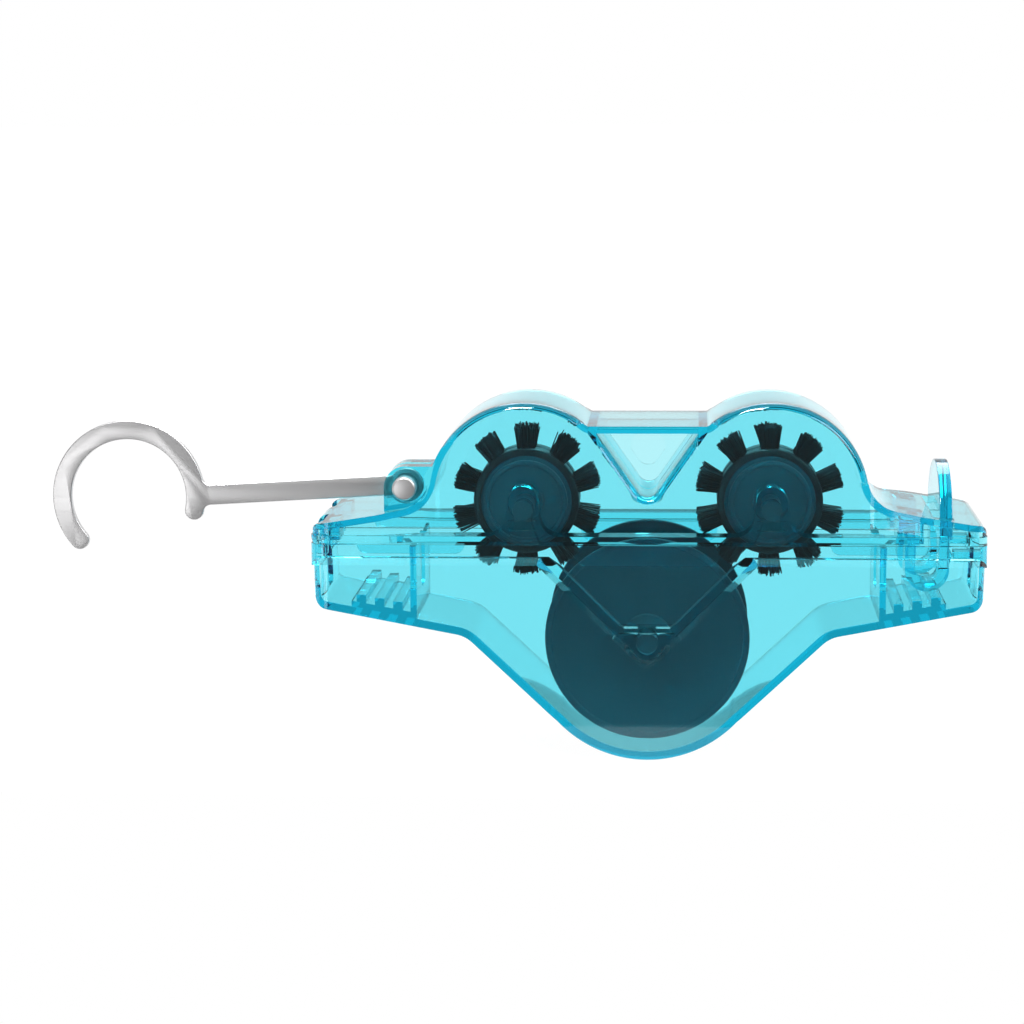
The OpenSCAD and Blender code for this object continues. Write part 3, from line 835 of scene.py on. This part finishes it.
def turned(name: str, outline: Sequence[tuple[float, float]], centre: Vector) -> bpy.types.Object:
    """Turn a closed outline about an axle that runs along Y.

    Args:
        name: The piece's name.
        outline: Radius and place along the axle of each corner, in millimetres.
        centre: A point on the axle, in metres.

    Returns:
        A closed ring.
    """
    deselect_all()
    bpy.ops.mesh.primitive_circle_add(vertices=len(outline), radius=1.0, fill_type="NOTHING")
    piece = newest(name)
    for vertex, (radius, along) in zip(piece.data.vertices, outline):
        vertex.co = centre + Vector((radius * MM, along * MM, 0.0))
    bpy.ops.object.mode_set(mode="EDIT")
    bpy.ops.mesh.select_all(action="SELECT")
    bpy.ops.mesh.spin(
        steps=TURN_STEPS, angle=math.tau, center=centre, axis=(0, 1, 0), use_auto_merge=True
    )
    bpy.ops.mesh.select_all(action="SELECT")
    bpy.ops.mesh.remove_doubles(threshold=MERGE_GAP * MM)
    bpy.ops.mesh.normals_make_consistent(inside=False)
    bpy.ops.object.mode_set(mode="OBJECT")
    return piece


def axle_centre(node: str) -> Vector:
    """Find the middle of an axle that runs along Y.

    Args:
        node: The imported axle.

    Returns:
        The point in metres.
    """
    low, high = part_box(node)
    return Vector(((low.x + high.x) / 2, 0.0, (low.z + high.z) / 2))


@dataclass
class Shells:
    """The clear cover and tank, with the latch."""

    wardrobe: Wardrobe
    edge: float = 0.3

    def build(self) -> None:
        """Build and dress both shells and the latch."""
        self.shell("cover_shell", "cover_clear", "cover", self.round_cover)
        self.shell("tank_shell", "tank_clear", "tank")
        self.shell("latch_tab", "latch_clear", "latch")
        self.shell("latch_spring", "latch_bends", "cover")

    def round_cover(self, piece: bpy.types.Object) -> None:
        """Round the domes' outlines, but not at the arches, the bridge and the hook's lug.

        Args:
            piece: The cover's mesh.
        """
        bridge_low = 26.5
        bridge_half = 16.0
        arch_top = 17.0
        arch_half = 9.0
        axle_x = 30.9
        lug_side, lug_fade = -51.5, 2.0
        foot, foot_fade = 9.0, 3.0

        def on_dome(point: Vector) -> float:
            rise = point.z - PARTING
            if rise > bridge_low and abs(point.x) < bridge_half:
                return 0.0
            if rise < arch_top and abs(abs(point.x) - axle_x) < arch_half:
                return 0.0
            return ramp(point.x, lug_side, lug_fade) * ramp(rise, foot, foot_fade)

        MouldedRim(depth=18.0, radius=2.3).shape(piece, on_dome)

    def shell(
        self,
        node: str,
        name: str,
        body: str,
        shape: Callable[[bpy.types.Object], None] | None = None,
    ) -> None:
        """Soften the edges of a clear node and dress it.

        Args:
            node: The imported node.
            name: The piece's name.
            body: The body that it moves with.
            shape: Larger roundings that come first.
        """
        piece = from_frame(node, name)
        if shape:
            shape(piece)
        soften(piece, self.edge)
        smooth(piece)
        apply_modifier(piece, "WEIGHTED_NORMAL", mode="FACE_AREA", weight=100, keep_sharp=True)
        hand_over(piece, body, self.wardrobe.shell, (node,))


@dataclass
class BrushWheel:
    """One brush wheel under a dome: axle, hub, caps and two rows of tufts."""

    wardrobe: Wardrobe
    pattern: StrandPattern
    hand: Hand
    tufts: int = 10
    strands: int = 90
    root_r: float = 12.9
    tip_r: float = 19.15
    row: float = 3.3
    root_half: float = 2.1
    root_deep: float = 2.2
    tip_half: float = 2.7
    tip_deep: float = 2.9
    strand_r: float = 0.19
    bow: float = 0.22
    splay: tuple[float, float] = (0.95, 1.35)
    lean: float = 0.5
    uneven: float = 0.5
    crown: float = 0.25
    band_low: float = 11.6
    band_high: float = 13.4
    band_cut: float = 0.3
    row_gap: float = 0.15
    seed: int = 40
    seed_step: int = 11

    @property
    def body(self) -> str:
        """Name of the wheel's body."""
        return "left_brush" if self.hand is Hand.LEFT else "right_brush"

    def build(self) -> None:
        """Build and dress the wheel."""
        self.centre = axle_centre(f"{self.body}_axle")
        dress(f"{self.body}_axle", self.wardrobe.dark)
        self.drum()
        for side in Side:
            self.cap(side)
            self.row_of_tufts(side)

    def drum(self) -> None:
        """Build the hub that the two rings of bristles are pressed onto."""
        node = f"{self.body}_hub"
        piece = turned(f"{self.body}_drum", DRUM_PROFILE, self.centre)
        smooth(piece)
        hand_over(piece, self.body, self.wardrobe.dark, (node,))

    def cap(self, side: Side) -> None:
        """Build an end cap with a raised rim.

        Args:
            side: Front or rear cap.
        """
        way = side.value
        piece = turned(
            f"{self.body}_{side.name.lower()}_plate",
            [(radius, way * along) for radius, along in CAP_PROFILE],
            self.centre,
        )
        smooth(piece)
        node = f"{self.body}_{side.name.lower()}_cap"
        hand_over(piece, self.body, self.wardrobe.dark, (node,))

    def row_of_tufts(self, side: Side) -> None:
        """Fill one row with tufts of strands.

        Args:
            side: Front or rear row.
        """
        strands = StrandField(
            self.pattern, self.seed_step * self.hand.value + side.value + self.seed
        )
        for index in range(self.tufts):
            self.tuft(strands, side, index * math.tau / self.tufts)
        piece = strands.piece(f"{self.body}_{side.name.lower()}_tufts")
        middle, half = side.value * self.row, self.row - self.row_gap
        low, high, cut = self.band_low, self.band_high, self.band_cut
        band = turned(
            f"{self.body}_{side.name.lower()}_band",
            [
                (low, middle - half),
                (high - cut, middle - half),
                (high, middle - half + cut),
                (high, middle + half - cut),
                (high - cut, middle + half),
                (low, middle + half),
            ],
            self.centre,
        )
        pick(piece)
        band.select_set(True)
        bpy.ops.object.join()
        smooth(piece, TUFT_SMOOTH)
        node = f"{self.body}_{side.name.lower()}_bristles"
        hand_over(piece, self.body, self.wardrobe.bristle, (node,))

    def tuft(self, strands: StrandField, side: Side, angle: float) -> None:
        """Add one tuft, a little splayed towards its tip.

        Args:
            strands: The field that it goes into.
            side: Front or rear row.
            angle: Where it stands round the hub, from straight up towards +X.
        """
        out = Vector((math.sin(angle), 0.0, math.cos(angle)))
        along = Vector((math.cos(angle), 0.0, -math.sin(angle)))
        chance = strands.chance
        spread = self.tip_half * chance.uniform(*self.splay)
        lean = chance.uniform(-self.lean, self.lean)
        for _ in range(self.strands):
            wide = chance.uniform(-1.0, 1.0)
            deep = chance.uniform(-1.0, 1.0)
            reach = self.tip_r - chance.uniform(0.0, self.uneven) - self.crown * abs(wide)
            root = self.spot(
                out, along, side, self.root_r, wide * self.root_half, deep * self.root_deep
            )
            tip = self.spot(out, along, side, reach, wide * spread + lean, deep * self.tip_deep)
            strands.add(root, tip, self.strand_r * MM, self.bow * MM)

    def spot(
        self, out: Vector, along: Vector, side: Side, reach: float, wide: float, deep: float
    ) -> Vector:
        """Find a point of a tuft.

        Args:
            out: Direction away from the axle.
            along: Direction round the hub.
            side: Front or rear row.
            reach: Distance from the axle in millimetres.
            wide: Offset round the hub in millimetres.
            deep: Offset along the axle in millimetres.

        Returns:
            The point in metres.
        """
        rise = math.sqrt(reach**2 - wide**2)
        middle = side.value * self.row + deep
        return self.centre + (out * rise + along * wide + Vector((0.0, middle, 0.0))) * MM


@dataclass
class ScrubWheel:
    """The wheel under the chain: two discs with inward bristles, a roller and its axle."""

    wardrobe: Wardrobe
    pattern: StrandPattern
    tufts: int = 12
    strands: int = 40
    ring_r: float = 20.0
    length: float = 8.6
    root_half: float = 1.3
    tip_half: float = 2.0
    strand_r: float = 0.17
    bow: float = 0.2
    uneven: float = 0.5
    bore_r: float = 2.62
    seed: int = 70

    def build(self) -> None:
        """Build and dress the wheel."""
        self.centre = axle_centre("scrub_axle")
        low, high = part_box("scrub_rear_disc")
        self.inner, self.outer, self.rim = low.y / MM, high.y / MM, (high.x - low.x) / 2 / MM
        dress("scrub_axle", self.wardrobe.dark)
        self.roller()
        for side in Side:
            self.disc(side)
            self.ring_of_tufts(side)

    def roller(self) -> None:
        """Build the roller with a raised track and round shoulders."""
        bore, inner = self.bore_r, self.inner
        neck_r, track_r, track_half, cut = 7.0, 10.5, 6.0, 0.5
        half = [
            (track_r, track_half - cut),
            (track_r - cut, track_half),
            (neck_r, track_half),
            (neck_r, inner),
            (bore, inner),
        ]
        outline = [(radius, -along) for radius, along in reversed(half)] + half
        piece = turned("scrub_track", outline, self.centre)
        smooth(piece)
        hand_over(piece, "scrub_wheel", self.wardrobe.dark, ("scrub_roller",))

    def disc(self, side: Side) -> None:
        """Build a disc with a shallow dish and a round rim.

        Args:
            side: Front or rear disc.
        """
        way = side.value
        rim, inner, outer = self.rim, self.inner, self.outer
        cut, lip, lip_foot, dish = 0.3, 1.4, 1.8, 0.25
        boss_r, boss_foot = 6.0, 6.4
        outline = [
            (self.bore_r, inner),
            (rim - cut, inner),
            (rim, inner + cut),
            (rim, outer - cut),
            (rim - cut, outer),
            (rim - lip, outer),
            (rim - lip_foot, outer - dish),
            (boss_foot, outer - dish),
            (boss_r, outer),
            (self.bore_r, outer),
        ]
        piece = turned(
            f"scrub_{side.name.lower()}_plate",
            [(radius, way * along) for radius, along in outline],
            self.centre,
        )
        smooth(piece)
        node = f"scrub_{side.name.lower()}_disc"
        hand_over(piece, "scrub_wheel", self.wardrobe.dark, (node,))

    def ring_of_tufts(self, side: Side) -> None:
        """Fill the inside of a disc with tufts.

        Args:
            side: Front or rear disc.
        """
        strands = StrandField(self.pattern, self.seed + side.value)
        chance = strands.chance
        for index in range(self.tufts):
            angle = index * math.tau / self.tufts
            middle = Vector((math.sin(angle), 0.0, math.cos(angle))) * self.ring_r
            for _ in range(self.strands):
                wide, high = chance.uniform(-1.0, 1.0), chance.uniform(-1.0, 1.0)
                start = side.value * self.inner
                root = middle + Vector((wide * self.root_half, start, high * self.root_half))
                end = side.value * (self.inner - self.length + chance.uniform(0.0, self.uneven))
                tip = middle + Vector((wide * self.tip_half, end, high * self.tip_half))
                strands.add(
                    self.centre + root * MM,
                    self.centre + tip * MM,
                    self.strand_r * MM,
                    self.bow * MM,
                )
        piece = strands.piece(f"scrub_{side.name.lower()}_tufts")
        smooth(piece, TUFT_SMOOTH)
        node = f"scrub_{side.name.lower()}_bristles"
        hand_over(piece, "scrub_wheel", self.wardrobe.bristle, (node,))


@dataclass
class HangingHook:
    """The steel hook and its pin."""

    wardrobe: Wardrobe

    def build(self) -> None:
        """Build and dress the hook and the pin."""
        arm = from_frame("hook_arm", "hook_plate")
        soften(arm, width=0.3, segments=3)
        smooth(arm)
        hand_over(arm, "hook", self.wardrobe.steel, ("hook_arm",))
        pin = from_frame("hook_pin", "hook_rivet")
        soften(pin, width=0.15, segments=2, angle=25.0)
        smooth(pin)
        hand_over(pin, "cover", self.wardrobe.steel, ("hook_pin",))


@dataclass
class Studio:
    """White floor, sky, soft lamps and the camera."""

    eye: tuple[float, float, float] = (9.81, -742.1, 122.2)
    yaw: float = 3.452
    pitch: float = 8.299
    roll: float = -0.305
    focal_px: float = 2923.8
    frame_px: float = 1024.0
    floor_drop: float = -46.4
    floor_size: float = 12.0
    floor_front: float = -60.0
    floor_grey: float = 0.8
    floor_glow: float = 1.03
    floor_glow_share: float = 0.96
    room_span: tuple[float, float] = (-0.35, 0.05)
    room_level: float = 0.16
    ceiling_span: tuple[float, float] = (0.04, 0.14)
    ceiling_level: float = 0.75
    unseen_level: float = 0.6

    def build(self) -> None:
        """Set up everything round the object."""
        self.camera()
        self.floor()
        self.sky()
        self.lamps()
        scene = bpy.context.scene
        scene.view_settings.view_transform = "Standard"
        scene.cycles.max_bounces = 40
        scene.cycles.transmission_bounces = 36
        scene.cycles.glossy_bounces = 12
        scene.cycles.transparent_max_bounces = 40

    def camera(self) -> None:
        """Stand the camera where the photograph was taken."""
        lens = bpy.data.cameras.new("camera")
        lens.sensor_fit = "HORIZONTAL"
        lens.sensor_width = SENSOR
        lens.lens = self.focal_px * SENSOR / self.frame_px
        lens.clip_start = 0.05
        lens.clip_end = 20.0
        camera = bpy.data.objects.new("camera", lens)
        bpy.context.scene.collection.objects.link(camera)
        turn = (
            Matrix.Rotation(math.radians(self.yaw), 4, "Z")
            @ Matrix.Rotation(math.radians(90.0 - self.pitch), 4, "X")
            @ Matrix.Rotation(math.radians(self.roll), 4, "Z")
        )
        camera.matrix_world = Matrix.Translation(Vector(self.eye) * MM) @ turn
        bpy.context.scene.camera = camera

    def floor(self) -> None:
        """Lay a white floor that keeps the object's shadow."""
        deselect_all()
        reach = self.floor_size / 2
        bpy.ops.mesh.primitive_plane_add(
            size=self.floor_size, location=(0, reach + self.floor_front * MM, self.floor_drop * MM)
        )
        plane = newest("floor")
        material = bpy.data.materials.new("floor_white")
        material.use_nodes = True
        tree = material.node_tree
        tree.nodes.clear()
        output = tree.nodes.new("ShaderNodeOutputMaterial")
        matt = tree.nodes.new("ShaderNodeBsdfDiffuse")
        matt.inputs["Color"].default_value = (*[self.floor_grey] * 3, 1.0)
        glow = tree.nodes.new("ShaderNodeEmission")
        glow.inputs["Color"].default_value = WHITE
        glow.inputs["Strength"].default_value = self.floor_glow
        both = tree.nodes.new("ShaderNodeMixShader")
        level = tree.nodes.new("ShaderNodeMath")
        level.operation = "MULTIPLY"
        level.inputs[1].default_value = self.floor_glow_share
        tree.links.new(seen_directly(tree), level.inputs[0])
        tree.links.new(level.outputs[0], both.inputs["Fac"])
        tree.links.new(matt.outputs["BSDF"], both.inputs[1])
        tree.links.new(glow.outputs["Emission"], both.inputs[2])
        tree.links.new(both.outputs["Shader"], output.inputs["Surface"])
        plane.data.materials.append(material)

    def sky(self) -> None:
        """Hang a sky, white to the camera and dimmer in front of the object and above it."""
        world = bpy.data.worlds.new("sky")
        bpy.context.scene.world = world
        world.use_nodes = True
        tree = world.node_tree
        tree.nodes.clear()
        output = tree.nodes.new("ShaderNodeOutputWorld")
        background = tree.nodes.new("ShaderNodeBackground")
        background.inputs["Color"].default_value = WHITE
        place = tree.nodes.new("ShaderNodeTexCoord")
        split = tree.nodes.new("ShaderNodeSeparateXYZ")
        fade = tree.nodes.new("ShaderNodeMapRange")
        fade.inputs["From Min"].default_value = self.room_span[0]
        fade.inputs["From Max"].default_value = self.room_span[1]
        fade.inputs["To Min"].default_value = self.room_level
        level = tree.nodes.new("ShaderNodeMix")
        level.inputs["A"].default_value = self.unseen_level
        tree.links.new(place.outputs["Generated"], split.inputs["Vector"])
        rise = tree.nodes.new("ShaderNodeMapRange")
        rise.inputs["From Min"].default_value = self.ceiling_span[0]
        rise.inputs["From Max"].default_value = self.ceiling_span[1]
        rise.inputs["To Min"].default_value = 1.0
        rise.inputs["To Max"].default_value = self.ceiling_level
        both = tree.nodes.new("ShaderNodeMath")
        both.operation = "MULTIPLY"
        tree.links.new(split.outputs["Y"], fade.inputs["Value"])
        tree.links.new(split.outputs["Z"], rise.inputs["Value"])
        tree.links.new(fade.outputs["Result"], both.inputs[0])
        tree.links.new(rise.outputs["Result"], both.inputs[1])
        tree.links.new(seen_directly(tree), level.inputs["Factor"])
        tree.links.new(both.outputs["Value"], level.inputs["B"])
        seen = tree.nodes.new("ShaderNodeLightPath")
        plain = tree.nodes.new("ShaderNodeMath")
        plain.operation = "MAXIMUM"
        tree.links.new(seen.outputs["Is Camera Ray"], plain.inputs[0])
        tree.links.new(level.outputs["Result"], plain.inputs[1])
        tree.links.new(plain.outputs["Value"], background.inputs["Strength"])
        tree.links.new(background.outputs["Background"], output.inputs["Surface"])

    def lamps(self) -> None:
        """Hang the soft lamps."""
        for name, place, target, size, power in (
            ("key_lamp", (-120, -520, 760), (0, 0, 0), 260, 9.0),
            ("fill_lamp", (600, -500, 500), (0, 0, 0), 500, 4.0),
            ("back_lamp", (0, 700, 700), (0, 0, 20), 600, 5.0),
            ("bounce_card", (-430, -740, -60), (-120, 0, 10), 320, 0.9),
        ):
            light = bpy.data.lights.new(name, "AREA")
            light.shape = "SQUARE"
            light.size = size * MM
            light.energy = power
            lamp = bpy.data.objects.new(name, light)
            bpy.context.scene.collection.objects.link(lamp)
            lamp.location = Vector(place) * MM
            aim = Vector(target) - Vector(place)
            lamp.rotation_euler = aim.to_track_quat("-Z", "Y").to_euler()
            lamp.visible_camera = False


def seen_directly(tree: bpy.types.NodeTree) -> bpy.types.NodeSocket:
    """Add the nodes that tell whether a ray comes from the camera, metal or glass.

    Args:
        tree: The node tree that they go into.

    Returns:
        A socket that is 1 for such a ray and 0 for the rest.
    """
    path = tree.nodes.new("ShaderNodeLightPath")
    total = path.outputs["Is Camera Ray"]
    for name in ("Is Glossy Ray", "Is Transmission Ray"):
        larger = tree.nodes.new("ShaderNodeMath")
        larger.operation = "MAXIMUM"
        tree.links.new(total, larger.inputs[0])
        tree.links.new(path.outputs[name], larger.inputs[1])
        total = larger.outputs[0]
    return total


def main() -> None:
    """Build the whole scene round the frame."""
    logging.basicConfig(level=logging.INFO, format="%(name)s: %(message)s")
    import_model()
    wardrobe = Wardrobe()
    Shells(wardrobe).build()
    HangingHook(wardrobe).build()
    pattern = StrandPattern()
    for hand in Hand:
        BrushWheel(wardrobe, pattern, hand).build()
    ScrubWheel(wardrobe, pattern).build()
    Studio().build()
    deselect_all()


if __name__ == "__main__":
    main()
